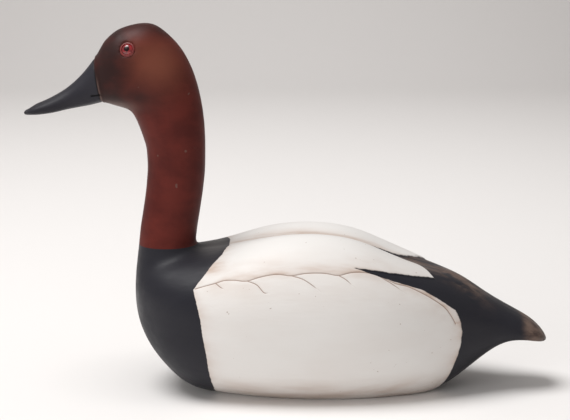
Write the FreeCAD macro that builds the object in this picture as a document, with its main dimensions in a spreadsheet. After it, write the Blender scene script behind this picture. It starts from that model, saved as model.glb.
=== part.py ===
"""Floating duck decoy: a hollow carved drake with a high head, built as separate pieces.

Frame: millimetres, +Z up, -X towards the bill, +X towards the tail, -Y the bird's left.
The origin is on the flat base, under the middle of the overall length.

The carved wooden pieces are lofts through sections. Each section is two half super-ellipses that
share their widest line, so the hull follows from a few curves along its length, and the head and
neck follow from a fan of planes that turn round the throat. The hardware is made of PartDesign
bodies, Part primitives and booleans whose sizes are bound to the sheet.
"""
import FreeCAD, Part
import math
import os

from FreeCAD import Placement, Rotation, Vector

os.makedirs("parts", exist_ok=True)
doc = FreeCAD.newDocument("duck_decoy")
sheet = doc.addObject("Spreadsheet::Sheet", "Dimensions")

DIMENSIONS = [
    # joints between the blocks of wood
    ("seam_z", 36.0, "height of the glued seam between the two body blocks"),
    ("neck_seat_z", 126.0, "height of the flat joint between body and neck"),
    ("bill_joint_x", -160.6, "middle of the joint between face and bill"),
    ("bill_joint_z", 262.0, "middle of the joint between face and bill"),
    ("bill_joint_lean", -10.0, "lean of that joint from upright, degrees"),
    # neck fastening
    ("neck_screw_x", -104.0, "axis of the neck screw"),
    ("neck_screw_d", 6.4, "shank diameter of the neck screw"),
    ("neck_screw_length", 80.0, "shank length of the neck screw"),
    ("neck_screw_head_d", 13.0, "width of the neck screw's head"),
    ("neck_screw_head_t", 4.4, "height of the neck screw's head"),
    ("washer_d", 22.0, "outer diameter of the neck washer"),
    ("washer_t", 1.6, "thickness of the neck washer"),
    ("spot_face_z", 107.0, "flat cut for the washer in the roof of the hollow"),
    ("spot_face_d", 25.0, "width of that cut"),
    ("spot_face_depth", 30.0, "reach of that cut down into the hollow"),
    ("neck_peg_d", 6.0, "diameter of the two neck pegs"),
    ("neck_peg_length", 24.0, "length of a neck peg"),
    ("neck_peg_spacing", 30.0, "distance between the neck pegs, along the body"),
    # seam and bill dowels
    ("seam_dowel_d", 6.0, "diameter of a seam dowel"),
    ("seam_dowel_length", 20.0, "length of a seam dowel"),
    ("bill_dowel_d", 8.0, "diameter of the dowel in the bill"),
    ("bill_dowel_length", 32.0, "length of the dowel in the bill"),
    ("front_dowel_x", -101.0, "seam dowels ahead of the hollow, along the body"),
    ("front_dowel_y", 24.0, "the same, out from the middle"),
    ("rear_dowel_x", 148.0, "seam dowels behind the hollow, along the body"),
    ("rear_dowel_y", 15.0, "the same, out from the middle"),
    # eyes
    ("eye_x", -134.5, "centre of an eye, along the bird"),
    ("eye_y", 23.8, "centre of an eye, out from the middle"),
    ("eye_z", 295.7, "centre of an eye, above the base"),
    ("eye_turn", 10.0, "how far an eye looks forward of sideways, degrees"),
    ("eye_tilt", 23.0, "how far an eye looks above level, degrees"),
    ("eye_d", 9.4, "diameter of a glass eye"),
    ("eye_dome_r", 6.2, "radius of the eye's dome"),
    ("eye_rim_t", 2.4, "thickness of the eye at its rim"),
    ("pupil_d", 4.6, "diameter of the pupil"),
    ("pupil_depth", 1.2, "how deep the pupil is set below the rim of the dome"),
    ("bed_d", 11.6, "diameter of the putty bed round an eye"),
    ("bed_depth", 6.0, "depth of the putty bed below the face"),
    ("bed_lip", 0.5, "how far the putty bed stands out of the face"),
    ("socket_reach", 10.0, "how far the cut for a bed reaches out past the face"),
    # ballast
    ("ballast_x", 45.0, "centre of the ballast weight"),
    ("ballast_length", 110.0, "length of the ballast weight"),
    ("ballast_width", 44.0, "width of the ballast weight"),
    ("ballast_t", 7.0, "thickness of the ballast weight"),
    ("ballast_corner", 6.0, "corner radius of the ballast weight"),
    ("ballast_z", 0.6, "underside of the ballast weight above the base"),
    ("inlet_gap", 0.3, "gap between the ballast weight and its inlet"),
    ("ballast_screw_d", 4.0, "shank diameter of a ballast screw"),
    ("ballast_screw_head_d", 8.0, "head diameter of a ballast screw"),
    ("ballast_screw_head_t", 2.4, "depth of a ballast screw's tapered head"),
    ("ballast_screw_length", 15.0, "length of a ballast screw, head included"),
    ("ballast_screw_dx", 76.0, "spacing of the ballast screws along the body"),
    ("ballast_screw_dy", 22.0, "spacing of the ballast screws across the body"),
    # line tie
    ("tie_x", -50.0, "middle of the staple for the anchor line"),
    ("tie_pivot_z", 4.4, "height of the ring's wire where it runs through the staple"),
    ("pocket_front", 9.0, "reach of the tie's pocket ahead of the staple"),
    ("pocket_back", 27.0, "reach of the tie's pocket behind the staple"),
    ("pocket_width", 30.0, "width of the tie's pocket"),
    ("pocket_depth", 9.0, "depth of the tie's pocket"),
    ("pocket_corner", 7.0, "corner radius of the tie's pocket"),
    ("ring_wire_d", 2.6, "wire of the anchor ring"),
    ("ring_d", 24.0, "outer diameter of the anchor ring"),
    ("ring_droop", 8.0, "how far the folded ring hangs below level, degrees"),
    ("staple_wire_d", 2.2, "wire of the staple"),
    ("staple_span", 8.0, "distance between the staple's legs, centre to centre"),
    ("staple_bend", 2.0, "bend radius of the staple"),
    ("staple_play", 0.35, "gap between the ring's wire and the staple's crown"),
    ("staple_leg", 8.0, "length of each leg inside the wood"),
    ("fit_gap", 0.05, "radial gap round pegs, screws and beds"),
    ("cut_floor", -10.0, "level below the base that the cuts of the underside start from"),
    ("far", 400.0, "reach of the blocks that part the body, beyond any of its skin"),
    ("bill_block", 120.0, "edge of the block that parts the bill from the head"),
]
for row, (alias, value, note) in enumerate(DIMENSIONS, start=1):
    sheet.set(f"A{row}", alias)
    sheet.set(f"B{row}", str(value))
    sheet.set(f"C{row}", note)
    sheet.setAlias(f"B{row}", alias)
doc.recompute()


def dim(alias):
    """The value of a cell of the sheet."""
    return float(getattr(sheet, alias))


# ---------------------------------------------------------------------------------------------
# The hull: curves along the body as (x, value), and those of the hollow inside it.

HALF_WIDTH = [(-133, 0), (-131.5, 15), (-127, 29), (-118, 43), (-105, 55), (-85, 66), (-58, 74),
              (-20, 78.5), (20, 79), (60, 75.5), (95, 67), (125, 55), (150, 43), (173, 33), (196, 27.5),
              (210, 24), (219, 17.5), (223.5, 10.5), (225.5, 0)]
BACK_LINE = [(-133, 88), (-131.5, 102), (-127, 110.5), (-118, 116), (-105, 119.5), (-85, 123), (-58, 128),
             (-20, 139.3), (20, 143.5), (60, 137.6), (95, 123.5), (125, 110), (150, 96.5), (173, 81.5),
             (196, 67.5), (210, 59.5), (219, 52), (223.5, 46), (225.5, 41)]
KEEL_LINE = [(-133, 88), (-131.5, 70), (-127, 53), (-118, 36), (-105, 20), (-90, 7), (-76, 0.3), (-58, -2),
             (-33, -4.5), (-7, -7.5), (33, -9.2), (67, -9.4), (102, -5.6), (130, -0.4), (150, 13),
             (173, 31.5), (190, 41), (205, 42.5), (219, 41), (225.5, 41)]
WIDEST_LINE = [(-133, 88), (-127, 86), (-118, 82), (-85, 74), (-20, 67), (20, 66), (60, 66), (95, 64),
               (125, 61), (150, 59), (173, 56), (196, 51), (210, 47.5), (225.5, 41)]
CREASE_DEPTH = [(-70, 0), (-48, 4.5), (-30, 6.7), (-11, 8.4), (14, 9.1), (55, 9.6), (72, 10), (100, 9.8),
                (115, 7.5), (138, 0)]
CREASE_HALF_WIDTH = 36.0
HULL_ROUNDNESS = (2.25, 2.5)
HULL_STATIONS = [-132.8, -131.5, -127, -118, -105, -85, -58, -20, 20, 60, 95, 125, 150, 173, 190, 205, 216,
                 222.5, 225.2]

HOLLOW_HALF_WIDTH = [(-115, 5), (-112, 22), (-100, 38), (-80, 52), (-50, 61), (0, 65.5), (40, 64.5),
                     (80, 57.5), (110, 47), (130, 36), (142, 20), (145, 5)]
HOLLOW_ROOF = [(-115, 85), (-112, 101), (-100, 105), (-80, 108), (-50, 112), (-20, 119), (20, 123), (60, 116),
               (95, 104.5), (125, 90), (142, 76), (145, 66)]
HOLLOW_FLOOR = [(-115, 79), (-112, 66), (-100, 54), (-80, 36), (-60, 22), (-40, 18), (100, 18), (120, 26),
                (142, 50), (145, 58)]
HOLLOW_ROUNDNESS = (2.2, 2.6)
HOLLOW_STATIONS = [-115, -112, -100, -80, -50, 0, 40, 80, 110, 130, 142, 145]

# Where the neck grows out of the breast: (z, front x, back x, half width), from the seat down.
NECK_ROOT = [(126, -129.6, -80.5, 26), (118, -130.8, -78, 28.5), (107, -131.9, -71, 34), (96, -132.5, -62, 41)]

# Head and neck: (throat side x, z), (crown side x, z), half width, where it is widest, roundness
# of the crown side and of the throat side.
FAN = [
    ((-129.6, 126), (-80.5, 126), 26, 0.50, 2.0, 2.0),
    ((-127.8, 140), (-78.9, 140), 24.5, 0.50, 2.0, 2.0),
    ((-124.8, 158), (-76, 158), 23.5, 0.50, 2.0, 2.0),
    ((-122.2, 176), (-73.3, 176), 23, 0.50, 2.0, 2.0),
    ((-120.8, 194), (-71.6, 194), 23, 0.50, 2.0, 2.0),
    ((-121.4, 208), (-71.3, 212), 23.5, 0.50, 2.0, 2.0),
    ((-124, 218.5), (-71.8, 230), 24.3, 0.50, 2.0, 2.0),
    ((-128.5, 230.5), (-74.4, 250), 25.5, 0.49, 2.0, 2.0),
    ((-132.5, 239), (-81.5, 276), 27, 0.47, 2.05, 2.0),
    ((-136.5, 243.2), (-97, 301.5), 28, 0.44, 2.1, 2.05),
    ((-141, 244), (-120, 316), 28, 0.42, 2.15, 2.1),
    ((-147, 246), (-141, 311.8), 26.5, 0.40, 2.15, 2.1),
    ((-152.8, 247.6), (-154, 302.5), 22.5, 0.38, 2.15, 2.2),
    ((-157.3, 249), (-164, 287), 17.5, 0.36, 2.15, 2.3),
    ((-169.3, 246.4), (-177.2, 270.9), 14.5, 0.33, 2.2, 2.5),
    ((-186.4, 243.2), (-190, 260), 13.3, 0.33, 2.2, 2.5),
    ((-203.6, 239.5), (-204, 252), 13.5, 0.36, 2.2, 2.5),
    ((-215, 238.2), (-216, 246.6), 12, 0.42, 2.2, 2.4),
    ((-222, 238), (-222.4, 242.6), 8, 0.45, 2.1, 2.2),
    ((-225.5, 238.8), (-225.7, 240.8), 3.5, 0.5, 2.0, 2.0),
]
FAN_SPACING = 5.5
FAN_SHARED = 9

SECTION_POINTS = 48


def spline_through(points):
    """A function of x through the points: cubic pieces that never overshoot."""
    xs = [p[0] for p in points]
    ys = [p[1] for p in points]
    pieces = range(len(xs) - 1)
    run = [xs[i + 1] - xs[i] for i in pieces]
    slope = [(ys[i + 1] - ys[i]) / run[i] for i in pieces]
    tangent = [slope[0]] + [0.0] * (len(xs) - 2) + [slope[-1]]
    for i in range(1, len(xs) - 1):
        if slope[i - 1] * slope[i] > 0:
            before = 2 * run[i] + run[i - 1]
            after = run[i] + 2 * run[i - 1]
            tangent[i] = (before + after) / (before / slope[i - 1] + after / slope[i])

    def value(x):
        if x <= xs[0]:
            return ys[0]
        if x >= xs[-1]:
            return ys[-1]
        i = max(k for k in pieces if xs[k] <= x)
        t = (x - xs[i]) / run[i]
        return ((1 + 2 * t) * (1 - t) ** 2 * ys[i] + t * (1 - t) ** 2 * run[i] * tangent[i]
                + t * t * (3 - 2 * t) * ys[i + 1] + t * t * (t - 1) * run[i] * tangent[i + 1])

    return value


def section_outline(width, rise, drop, rise_power, drop_power):
    """(across, along) points of two half super-ellipses that share their widest line."""
    points = []
    for k in range(SECTION_POINTS):
        angle = 2 * math.pi * k / SECTION_POINTS - math.pi / 2
        c, s = math.cos(angle), math.sin(angle)
        height, power = (rise, rise_power) if s >= 0 else (drop, drop_power)
        reach = (abs(c / width) ** power + abs(s / height) ** power) ** (-1 / power)
        points.append((reach * c, reach * s))
    return points


def section_object(name, points):
    """A closed smooth outline of two mirrored halves that meet square to the middle plane."""
    half = len(points) // 2
    out, back = Vector(0, 1, 0), Vector(0, -1, 0)
    edges = []
    for run, start, end in ((points[:half + 1], out, back), (points[half:] + points[:1], back, out)):
        curve = Part.BSplineCurve()
        curve.interpolate(run, InitialTangent=start, FinalTangent=end)
        edges.append(curve.toShape())
    section = doc.addObject("Part::Feature", name)
    section.Shape = Part.Wire(edges)
    return section


def loft(name, sections):
    """A closed solid through the sections."""
    solid = doc.addObject("Part::Loft", name)
    solid.Sections = sections
    solid.Solid = True
    solid.Ruled = False
    return solid


def lengthwise_loft(name, stations, half_width, roof, floor, widest, roundness, crease=None):
    """A solid through upright sections across the body, with a crease along its back if one is given."""
    sections = []
    for x in stations:
        middle = widest(x)
        points = []
        for across, along in section_outline(half_width(x), roof(x) - middle, middle - floor(x), *roundness):
            if crease and along > 0 and abs(across) < CREASE_HALF_WIDTH:
                along -= crease(x) * math.cos(math.pi / 2 * across / CREASE_HALF_WIDTH) ** 2
            points.append(Vector(x, across, middle + along))
        sections.append(section_object(f"{name}_section", points))
    return loft(name, sections)


def fan_sections():
    """Planes fanned round the throat, evenly spaced along the crown; also the number of the shared one."""
    crowns = [Vector(crown[0], 0, crown[1]) for _, crown, *_ in FAN]
    along_crown = [0.0]
    for near, far in zip(crowns, crowns[1:]):
        along_crown.append(along_crown[-1] + near.distanceToPoint(far))
    columns = zip(*((*throat, *crown, *shape) for throat, crown, *shape in FAN))
    curves = [spline_through(list(zip(along_crown, column))) for column in columns]
    count = round(along_crown[-1] / FAN_SPACING)
    sections = []
    for step in range(count + 1):
        values = [curve(along_crown[-1] * step / count) for curve in curves]
        start = Vector(values[0], 0, values[1])
        reach = Vector(values[2], 0, values[3]) - start
        half_width, widest, *powers = values[4:]
        outline = section_outline(half_width, (1 - widest) * reach.Length, widest * reach.Length, *powers)
        direction = Vector(reach).normalize()
        middle = start + reach * widest
        points = [middle + direction * along + Vector(0, across, 0) for across, along in outline]
        sections.append(section_object("fan_section", points))
    return sections, round(along_crown[FAN_SHARED] / FAN_SPACING)


def fan_loft():
    """The solid of head, neck and bill: two lofts that share one plane of the fan."""
    sections, shared = fan_sections()
    neck = loft("neck_blank", sections[:shared + 1])
    head = loft("head_blank", sections[shared:])
    return fuse("fan", neck, head)


def neck_root_loft():
    """The foot of the neck, widening into the breast."""
    sections = []
    for z, front, back, half_width in NECK_ROOT:
        middle = (front + back) / 2
        half_length = (back - front) / 2
        outline = section_outline(half_width, half_length, half_length, 2.0, 2.0)
        sections.append(section_object("neck_root_section", [Vector(middle + a, c, z) for c, a in outline]))
    return loft("neck_root", sections)


# ---------------------------------------------------------------------------------------------
# Small helpers for bound primitives and booleans.

def primitive(kind, name, place=None, **sizes):
    """A Part primitive whose sizes are expressions on the sheet."""
    item = doc.addObject(kind, name)
    for prop, expression in sizes.items():
        item.setExpression(prop, expression)
    if place is not None:
        item.Placement = place
    return item


def cylinder(name, place, diameter, length):
    return primitive("Part::Cylinder", name, place, Radius=f"({diameter}) / 2", Height=length)


def bound_box(name, low, high):
    """A box between two corners, each given as three expressions."""
    item = doc.addObject("Part::Box", name)
    for prop, near, far in zip(("Length", "Width", "Height"), low, high):
        item.setExpression(prop, f"({far}) - ({near})")
    for axis, near in zip("xyz", low):
        item.setExpression(f"Placement.Base.{axis}", near)
    return item


def boolean(kind, name, **operands):
    """A Part boolean of other objects; faces aren't merged afterwards, so carved skins stay as lofted."""
    item = doc.addObject(kind, name)
    for prop, value in operands.items():
        setattr(item, prop, value)
    item.Refine = False
    return item


def fuse(name, *shapes):
    return boolean("Part::MultiFuse", name, Shapes=list(shapes))


def cut(name, base, *tools):
    tool = tools[0] if len(tools) == 1 else fuse(f"{name}_tools", *tools)
    return boolean("Part::Cut", name, Base=base, Tool=tool)


def common(name, base, tool):
    return boolean("Part::Common", name, Base=base, Tool=tool)


def compound(name, items):
    item = doc.addObject("Part::Compound", name)
    item.Links = items
    return item


def at(x, y, z, rotation=None):
    return Placement(Vector(x, y, z), rotation or Rotation())


def upright_edges(item):
    """Numbers of the straight edges that stand along Z."""
    doc.recompute()
    numbers = []
    for number, edge in enumerate(item.Shape.Edges, start=1):
        along = edge.Vertexes[0].Point - edge.Vertexes[-1].Point
        if along.Length > 0 and abs(along.z) > 0.99 * along.Length:
            numbers.append(number)
    return numbers


def round_corners(name, item, alias):
    """The same block with its upright corners rounded to the radius in that cell."""
    rounded = doc.addObject("Part::Fillet", name)
    rounded.Base = item
    radius = dim(alias)
    rounded.Edges = [(number, radius, radius) for number in upright_edges(item)]
    return rounded


pieces = {}


def piece(name, item):
    """Name a finished piece; the name is also that of its file."""
    item.Label = name
    pieces[name] = item
    return item


S = "Dimensions."


# ---------------------------------------------------------------------------------------------
# Hardware of the neck and the bill

def neck_fastening():
    """Screw and washer up into the neck from inside the hollow, and two pegs beside the screw."""
    x = dim("neck_screw_x")
    washer_z = dim("spot_face_z") - dim("washer_t")
    head_z = washer_z - dim("neck_screw_head_t")
    shank = cylinder("neck_shank", at(x, 0, head_z), S + "neck_screw_d",
                     f"{S}neck_screw_length + {S}neck_screw_head_t")
    head = primitive("Part::Prism", "neck_screw_head", at(x, 0, head_z), Height=f"{S}neck_screw_head_t",
                     Circumradius=f"{S}neck_screw_head_d / 2")
    piece("neck_screw", fuse("screw", shank, head))
    disc = cylinder("washer_disc", at(x, 0, washer_z), S + "washer_d", S + "washer_t")
    eye = cylinder("washer_hole", at(x, 0, washer_z), f"{S}neck_screw_d + 2 * {S}fit_gap", S + "washer_t")
    piece("neck_washer", cut("washer", disc, eye))

    half = dim("neck_peg_spacing") / 2
    low = dim("neck_seat_z") - dim("neck_peg_length") / 2
    places = [at(x - half, 0, low), at(x + half, 0, low)]
    pegs = [cylinder("neck_peg", place, S + "neck_peg_d", S + "neck_peg_length") for place in places]
    piece("neck_pegs", compound("pegs", pegs))
    holes = [cylinder("neck_peg_hole", place, f"{S}neck_peg_d + 2 * {S}fit_gap", S + "neck_peg_length")
             for place in places]
    holes.append(cylinder("neck_screw_hole", at(x, 0, head_z), f"{S}neck_screw_d + 2 * {S}fit_gap",
                          f"{S}neck_screw_length + {S}neck_screw_head_t"))
    return holes


def spot_face():
    """The flat that the washer bears on, opened down into the hollow."""
    return cylinder("spot_face", at(dim("neck_screw_x"), 0, dim("spot_face_z") - dim("spot_face_depth")),
                    S + "spot_face_d", S + "spot_face_depth")


def bill_joint():
    """Frame of the joint between face and bill: its local -X points out along the bill."""
    lean = Rotation(Vector(0, 1, 0), dim("bill_joint_lean"))
    return at(dim("bill_joint_x"), 0, dim("bill_joint_z"), lean)


def bill_dowel():
    along = Rotation(Vector(0, 1, 0), -90)
    place = bill_joint().multiply(at(dim("bill_dowel_length") / 2, 0, 0, along))
    piece("bill_dowel", cylinder("bill_peg", place, S + "bill_dowel_d", S + "bill_dowel_length"))
    return cylinder("bill_dowel_hole", place, f"{S}bill_dowel_d + 2 * {S}fit_gap", S + "bill_dowel_length")


def eye(side_name, side):
    """Glass, pupil and putty bed of one eye, side being -1 on the left; gives the socket in the head."""
    turn, tilt = math.radians(dim("eye_turn")), math.radians(dim("eye_tilt"))
    outward = Vector(-math.sin(turn) * math.cos(tilt), side * math.cos(turn) * math.cos(tilt), math.sin(tilt))
    centre = at(dim("eye_x"), side * dim("eye_y"), dim("eye_z"), Rotation(Vector(0, 0, 1), outward))

    def deep(distance):
        return centre.multiply(at(0, 0, distance))

    rim_r = dim("eye_d") / 2
    dome_r = dim("eye_dome_r")
    rim_t = dim("eye_rim_t")
    dome_drop = math.sqrt(dome_r ** 2 - rim_r ** 2)
    ball = primitive("Part::Sphere", f"{side_name}_dome", deep(-dome_drop), Radius=S + "eye_dome_r")
    barrel = cylinder(f"{side_name}_barrel", deep(-rim_t), S + "eye_d", f"{S}eye_rim_t + {S}eye_dome_r")
    button = common(f"{side_name}_button", ball, barrel)
    core = cylinder(f"{side_name}_core", deep(-dim("pupil_depth")), S + "pupil_d",
                    f"{S}pupil_depth + {S}eye_dome_r")
    piece(f"{side_name}_eye_pupil", common(f"{side_name}_pupil", button, core))
    piece(f"{side_name}_eye_glass", cut(f"{side_name}_glass", button, core))

    bed = cylinder(f"{side_name}_bed_block", deep(-dim("bed_depth")), S + "bed_d", f"{S}bed_depth + {S}bed_lip")
    seat = cylinder(f"{side_name}_seat", deep(-rim_t), f"{S}eye_d + 2 * {S}fit_gap",
                    f"{S}eye_rim_t + {S}bed_lip")
    piece(f"{side_name}_eye_putty", cut(f"{side_name}_bed", bed, seat))
    return cylinder(f"{side_name}_socket", deep(-dim("bed_depth")), f"{S}bed_d + 2 * {S}fit_gap",
                    f"{S}bed_depth + {S}socket_reach")


# ---------------------------------------------------------------------------------------------
# Hardware of the base

def ballast():
    """Flat weight in an inlet under the base, held by countersunk screws; gives the cuts in the wood."""
    x, z = dim("ballast_x"), dim("ballast_z")
    block = bound_box("ballast_block",
                      (f"{S}ballast_x - {S}ballast_length / 2", f"-{S}ballast_width / 2", f"{S}ballast_z"),
                      (f"{S}ballast_x + {S}ballast_length / 2", f"{S}ballast_width / 2",
                       f"{S}ballast_z + {S}ballast_t"))
    weight = round_corners("ballast_rounded", block, "ballast_corner")
    opening = bound_box("inlet_block",
                        (f"{S}ballast_x - {S}ballast_length / 2 - {S}inlet_gap",
                         f"-{S}ballast_width / 2 - {S}inlet_gap", S + "cut_floor"),
                        (f"{S}ballast_x + {S}ballast_length / 2 + {S}inlet_gap",
                         f"{S}ballast_width / 2 + {S}inlet_gap", f"{S}ballast_z + {S}ballast_t"))
    inlet = round_corners("inlet", opening, "ballast_corner")
    screws, screw_holes = [], []
    for along in (-1, 1):
        for across in (-1, 1):
            place = at(x + along * dim("ballast_screw_dx") / 2, across * dim("ballast_screw_dy") / 2, z)
            head = primitive("Part::Cone", "ballast_screw_head", place, Radius1=f"{S}ballast_screw_head_d / 2",
                             Radius2=f"{S}ballast_screw_d / 2", Height=f"{S}ballast_screw_head_t")
            shank = cylinder("ballast_screw_shank", place, S + "ballast_screw_d", S + "ballast_screw_length")
            screws.append(fuse("ballast_screw", head, shank))
            sink = primitive("Part::Cone", "countersink", place,
                             Radius1=f"{S}ballast_screw_head_d / 2 + {S}fit_gap",
                             Radius2=f"{S}ballast_screw_d / 2 + {S}fit_gap", Height=f"{S}ballast_screw_head_t")
            bore = cylinder("ballast_screw_bore", place, f"{S}ballast_screw_d + 2 * {S}fit_gap",
                            S + "ballast_screw_length")
            screw_holes.append(fuse("ballast_screw_hole", sink, bore))
    piece("ballast_screws", compound("screws_of_ballast", screws))
    piece("ballast_pad", cut("ballast_weight", weight, *screw_holes))
    return [inlet] + screw_holes


def seam_dowels():
    """Four dowels across the glued seam, in the solid wood ahead of and behind the hollow."""
    low = dim("seam_z") - dim("seam_dowel_length") / 2
    places = [at(dim(f"{end}_dowel_x"), side * dim(f"{end}_dowel_y"), low)
              for end in ("front", "rear") for side in (-1, 1)]
    dowels = [cylinder("seam_dowel", place, S + "seam_dowel_d", S + "seam_dowel_length") for place in places]
    piece("seam_dowels", compound("dowels_of_seam", dowels))
    return [cylinder("seam_dowel_hole", place, f"{S}seam_dowel_d + 2 * {S}fit_gap", S + "seam_dowel_length")
            for place in places]


def staple_path():
    """The staple's centre line: up one leg, round the crown below the ring's wire and up the other."""
    x, half, bend = dim("tie_x"), dim("staple_span") / 2, dim("staple_bend")
    crown_z = dim("tie_pivot_z") - dim("ring_wire_d") / 2 - dim("staple_play") - dim("staple_wire_d") / 2
    top = dim("pocket_depth") + dim("staple_leg")
    slant = bend * math.sin(math.pi / 4)

    def turn(side):
        corner_x, corner_z = x + side * (half - bend), crown_z + bend
        return (Vector(x + side * half, 0, corner_z),
                Vector(corner_x + side * slant, 0, corner_z - slant),
                Vector(corner_x, 0, crown_z))

    front, back = turn(-1), turn(1)
    edges = [Part.LineSegment(Vector(x - half, 0, top), front[0]).toShape(),
             Part.Arc(*front).toShape(),
             Part.LineSegment(front[2], back[2]).toShape(),
             Part.Arc(*reversed(back)).toShape(),
             Part.LineSegment(back[0], Vector(x + half, 0, top)).toShape()]
    path = doc.addObject("Part::Feature", "staple_path")
    path.Shape = Part.Wire(edges)
    return path


def line_tie():
    """Staple and ring for the anchor line, in a pocket under the breast; gives the cuts in the wood."""
    x, top = dim("tie_x"), dim("pocket_depth") + dim("staple_leg")
    legs = [at(x + side * dim("staple_span") / 2, 0, dim("pocket_depth")) for side in (-1, 1)]
    profile = primitive("Part::Circle", "staple_profile", at(legs[0].Base.x, 0, top),
                        Radius=f"{S}staple_wire_d / 2")
    path = staple_path()
    wire = doc.addObject("Part::Sweep", "staple_wire")
    wire.Sections = [profile]
    wire.Spine = (path, [f"Edge{number}" for number in range(1, 6)])
    wire.Solid = True
    wire.Frenet = False
    piece("tie_staple", wire)

    mean_r = (dim("ring_d") - dim("ring_wire_d")) / 2
    pivot = at(x, 0, dim("tie_pivot_z"), Rotation(Vector(0, 1, 0), dim("ring_droop")))
    piece("tie_ring", primitive("Part::Torus", "ring", pivot.multiply(at(mean_r, 0, 0)),
                                Radius1=f"({S}ring_d - {S}ring_wire_d) / 2", Radius2=f"{S}ring_wire_d / 2"))

    block = bound_box("pocket_block", (f"{S}tie_x - {S}pocket_front", f"-{S}pocket_width / 2",
                                      S + "cut_floor"),
                      (f"{S}tie_x + {S}pocket_back", f"{S}pocket_width / 2", f"{S}pocket_depth"))
    pocket = round_corners("pocket", block, "pocket_corner")
    leg_holes = [cylinder("staple_hole", place, f"{S}staple_wire_d + 2 * {S}fit_gap", S + "staple_leg")
                 for place in legs]
    return [pocket] + leg_holes


# ---------------------------------------------------------------------------------------------
# The carved blocks

neck_holes = neck_fastening()
peg_of_bill = bill_dowel()
sockets = [eye("left", -1), eye("right", 1)]
base_cuts = ballast() + line_tie()
dowel_holes = seam_dowels()

fan = fan_loft()
block = dim("bill_block")
bill_side = primitive("Part::Box", "bill_side", bill_joint().multiply(at(-block, -block / 2, -block / 2)),
                      Length=S + "bill_block", Width=S + "bill_block", Height=S + "bill_block")
piece("head_and_neck", cut("head", fan, bill_side, peg_of_bill, *sockets, *neck_holes))
piece("bill", cut("bill_block", common("bill_blank", fan, bill_side), peg_of_bill))

hull = lengthwise_loft("hull", HULL_STATIONS, *map(spline_through, (
    HALF_WIDTH, BACK_LINE, KEEL_LINE, WIDEST_LINE)), HULL_ROUNDNESS, spline_through(CREASE_DEPTH))
hollow = lengthwise_loft("hollow", HOLLOW_STATIONS, *map(spline_through, (
    HOLLOW_HALF_WIDTH, HOLLOW_ROOF, HOLLOW_FLOOR, WIDEST_LINE)), HOLLOW_ROUNDNESS)
carcass = fuse("carcass", hull, neck_root_loft())
far = S + "far"
above_seam = bound_box("above_seam", (f"-{far}", f"-{far}", S + "seam_z"), (far, far, far))
below_seam = bound_box("below_seam", (f"-{far}", f"-{far}", "0"), (far, far, S + "seam_z"))
upper = cut("upper", common("upper_block", carcass, above_seam), hollow)
lower = cut("lower", common("lower_block", carcass, below_seam), hollow)
piece("body_upper_shell", cut("upper_shell", upper, spot_face(), *neck_holes, *dowel_holes))
piece("body_lower_shell", cut("lower_shell", lower, *base_cuts, *dowel_holes))

doc.recompute()
for item in doc.Objects:
    if "Invalid" in item.State or "Error" in item.State:
        raise RuntimeError(f"{item.Name} failed: {item.State}")
for name, item in pieces.items():
    if item.Shape.isNull() or not item.Shape.isValid() or not item.Shape.Solids:
        raise RuntimeError(f"{name} has no valid solid")
    item.Shape.exportStep(f"parts/{name}.step")
    print(name, len(item.Shape.Solids), round(item.Shape.Volume / 1000, 2), "cm3")
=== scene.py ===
import math

import bmesh
import bpy
import numpy as np
from mathutils import Matrix, Vector
from mathutils.bvhtree import BVHTree


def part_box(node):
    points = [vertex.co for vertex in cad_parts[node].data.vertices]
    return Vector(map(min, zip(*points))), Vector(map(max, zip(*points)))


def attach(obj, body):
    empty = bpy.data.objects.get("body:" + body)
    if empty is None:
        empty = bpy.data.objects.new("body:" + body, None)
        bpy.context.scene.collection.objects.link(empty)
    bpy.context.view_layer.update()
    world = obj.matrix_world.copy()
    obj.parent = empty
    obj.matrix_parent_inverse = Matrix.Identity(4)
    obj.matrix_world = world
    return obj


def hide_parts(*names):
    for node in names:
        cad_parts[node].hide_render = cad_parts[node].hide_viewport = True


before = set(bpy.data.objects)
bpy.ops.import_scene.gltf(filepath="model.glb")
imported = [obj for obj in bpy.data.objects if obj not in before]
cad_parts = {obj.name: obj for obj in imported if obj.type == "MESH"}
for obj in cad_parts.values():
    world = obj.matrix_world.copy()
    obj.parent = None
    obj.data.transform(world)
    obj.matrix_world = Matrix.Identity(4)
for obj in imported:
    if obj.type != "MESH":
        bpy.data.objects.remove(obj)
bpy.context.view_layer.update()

MM = 0.001
SCENE = bpy.context.scene

# ---------------------------------------------------------------------------------------------
# Places that follow from the frame

SEAM_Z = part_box("body_lower_shell")[1].z
NECK_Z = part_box("head_and_neck")[0].z
BILL_POINT = (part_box("bill_dowel")[0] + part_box("bill_dowel")[1]) / 2
BILL_LEAN = math.radians(10)    # lean of the joint between face and bill from upright
BILL_NORMAL = Vector((-math.cos(BILL_LEAN), 0, -math.sin(BILL_LEAN)))
NECK_REAR_X = -0.072    # behind it, the skin above the neck joint is back, not neck
AXIS_Z = 0.066          # the line that angles round the body are taken from
EYE_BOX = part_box("right_eye_putty")
EYE_PLACE = tuple(value / MM for value in (EYE_BOX[0] + EYE_BOX[1]) / 2)
HEAD_Z = 0.2            # everything above it is head or bill

# ---------------------------------------------------------------------------------------------
# Paint and carving lines: (mm along the body, degrees above level as seen from the axis)

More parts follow.
